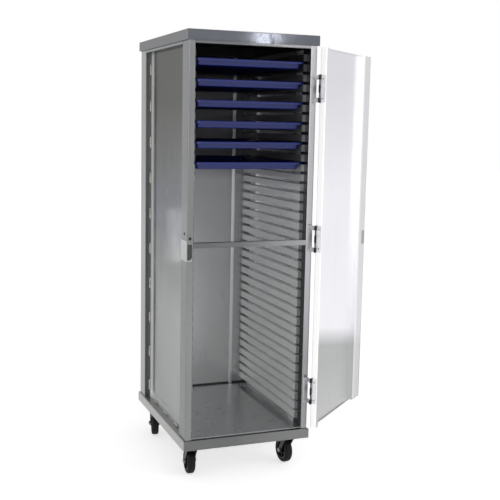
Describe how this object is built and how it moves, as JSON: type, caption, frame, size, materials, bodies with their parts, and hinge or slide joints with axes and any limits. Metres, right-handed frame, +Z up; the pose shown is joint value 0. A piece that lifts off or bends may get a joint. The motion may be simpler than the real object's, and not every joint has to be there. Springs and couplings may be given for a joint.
{
  "type": "enclosed meal tray cart",
  "caption": "Tall enclosed aluminium tray cart with one hinged door, ledge slides on both walls, pull-out meal trays and swivel casters.",
  "frame": {"origin": "on the floor, under the centre of the base frame's rectangle", "axes": "+X to the cart's right as seen from its door side, -Y to the front where the door is, +Z up"},
  "size_m": [0.9058, 0.7312, 1.706],
  "materials": {
    "post_aluminium": "satin mill finish, with long fine drawing lines",
    "rail_aluminium": "satin mill finish",
    "wall_sheet": "mill sheet, half gloss, slightly oil-canned",
    "roof_sheet": "bright mill sheet",
    "floor_sheet": "bright mill sheet, reflects the back wall",
    "base_aluminium": "satin, slightly scuffed",
    "slide_aluminium": "satin mill finish",
    "mid_rail_aluminium": "satin mill finish",
    "weld_bead": "rippled weld",
    "keeper_sheet": "bright",
    "magnet_case": "matt",
    "door_sheet": "pale, half gloss",
    "strike_steel": "zinc plated",
    "handle_steel": "brushed",
    "hinge_steel": "dark, half gloss",
    "plated_steel": "zinc plated",
    "tray_plastic": "moulded, fine grain",
    "caster_steel": "black powder coat",
    "caster_tyre": "matt black",
    "caster_core": "black moulded"
  },
  "bodies": {
    "cabinet": {"base_frame": "base_aluminium", "caster_pads": "base_aluminium", "caster_bolts": "plated_steel", "floor_panel": "floor_sheet", "front_left_post": "post_aluminium", "front_right_post": "post_aluminium", "rear_left_post": "post_aluminium", "rear_right_post": "post_aluminium", "front_header": "rail_aluminium", "rear_header": "rail_aluminium", "left_top_rail": "rail_aluminium", "right_top_rail": "rail_aluminium", "left_side_panel": "wall_sheet", "right_side_panel": "wall_sheet", "back_panel": "wall_sheet", "roof_pan": "roof_sheet", "mid_rail": "mid_rail_aluminium", "left_tray_slides": "slide_aluminium", "right_tray_slides": "slide_aluminium", "tray_stops": "slide_aluminium", "panel_welds": "weld_bead", "keeper_plate": "keeper_sheet", "magnet_catch": "magnet_case", "keeper_screws": "hinge_steel", "frame_hinge_leaves": "hinge_steel", "frame_leaf_screws": "plated_steel", "hinge_pins": "hinge_steel", "front_left_caster_plate": "caster_steel", "front_right_caster_plate": "caster_steel", "rear_left_caster_plate": "caster_steel", "rear_right_caster_plate": "caster_steel"},
    "door": {"door_pan": "door_sheet", "door_channel": "door_sheet", "magnet_strike": "strike_steel", "door_handle": "handle_steel", "handle_screws": "plated_steel", "door_hinge_leaves": "hinge_steel", "door_leaf_screws": "plated_steel"},
    "tray_1": {"tray_1": "tray_plastic"},
    "tray_2": {"tray_2": "tray_plastic"},
    "tray_3": {"tray_3": "tray_plastic"},
    "tray_4": {"tray_4": "tray_plastic"},
    "tray_5": {"tray_5": "tray_plastic"},
    "tray_6": {"tray_6": "tray_plastic"},
    "front_left_caster": {"front_left_fork": "caster_steel", "front_left_axle": "plated_steel"},
    "front_left_wheel": {"front_left_tyre": "caster_tyre", "front_left_hub": "caster_core"},
    "front_right_caster": {"front_right_fork": "caster_steel", "front_right_axle": "plated_steel"},
    "front_right_wheel": {"front_right_tyre": "caster_tyre", "front_right_hub": "caster_core"},
    "rear_left_caster": {"rear_left_fork": "caster_steel", "rear_left_axle": "plated_steel"},
    "rear_left_wheel": {"rear_left_tyre": "caster_tyre", "rear_left_hub": "caster_core"},
    "rear_right_caster": {"rear_right_fork": "caster_steel", "rear_right_axle": "plated_steel"},
    "rear_right_wheel": {"rear_right_tyre": "caster_tyre", "rear_right_hub": "caster_core"}
  },
  "joints": [
    {"name": "door_hinge", "type": "hinge", "parent": "cabinet", "child": "door", "pos_m": [0.255, -0.369, 0.92], "axis": [0, 0, 1], "range_deg": [-222.5, 44.5]},
    {"name": "tray_1_slide", "type": "slide", "parent": "cabinet", "child": "tray_1", "axis": [0, -1, 0], "range_m": [0, 0.4]},
    {"name": "tray_2_slide", "type": "slide", "parent": "cabinet", "child": "tray_2", "axis": [0, -1, 0], "range_m": [0, 0.4]},
    {"name": "tray_3_slide", "type": "slide", "parent": "cabinet", "child": "tray_3", "axis": [0, -1, 0], "range_m": [0, 0.4]},
    {"name": "tray_4_slide", "type": "slide", "parent": "cabinet", "child": "tray_4", "axis": [0, -1, 0], "range_m": [0, 0.4]},
    {"name": "tray_5_slide", "type": "slide", "parent": "cabinet", "child": "tray_5", "axis": [0, -1, 0], "range_m": [0, 0.4]},
    {"name": "tray_6_slide", "type": "slide", "parent": "cabinet", "child": "tray_6", "axis": [0, -1, 0], "range_m": [0, 0.4]},
    {"name": "front_left_swivel", "type": "hinge", "parent": "cabinet", "child": "front_left_caster", "pos_m": [-0.206, -0.276, 0.122], "axis": [0, 0, 1], "continuous": true},
    {"name": "front_left_roll", "type": "hinge", "parent": "front_left_caster", "child": "front_left_wheel", "pos_m": [-0.20349, -0.24009, 0.0508], "axis": [0.9976, -0.0698, 0], "continuous": true},
    {"name": "front_right_swivel", "type": "hinge", "parent": "cabinet", "child": "front_right_caster", "pos_m": [0.206, -0.276, 0.122], "axis": [0, 0, 1], "continuous": true},
    {"name": "front_right_roll", "type": "hinge", "parent": "front_right_caster", "child": "front_right_wheel", "pos_m": [0.20224, -0.2402, 0.0508], "axis": [0.9945, 0.1045, 0], "continuous": true},
    {"name": "rear_left_swivel", "type": "hinge", "parent": "cabinet", "child": "rear_left_caster", "pos_m": [-0.206, 0.276, 0.122], "axis": [0, 0, 1], "continuous": true},
    {"name": "rear_left_roll", "type": "hinge", "parent": "rear_left_caster", "child": "rear_left_wheel", "pos_m": [-0.21349, 0.24079, 0.0508], "axis": [-0.9781, 0.2079, 0], "continuous": true},
    {"name": "rear_right_swivel", "type": "hinge", "parent": "cabinet", "child": "rear_right_caster", "pos_m": [0.206, 0.276, 0.122], "axis": [0, 0, 1], "continuous": true},
    {"name": "rear_right_roll", "type": "hinge", "parent": "rear_right_caster", "child": "rear_right_wheel", "pos_m": [0.20224, 0.2402, 0.0508], "axis": [-0.9945, 0.1045, 0], "continuous": true}
  ]
}
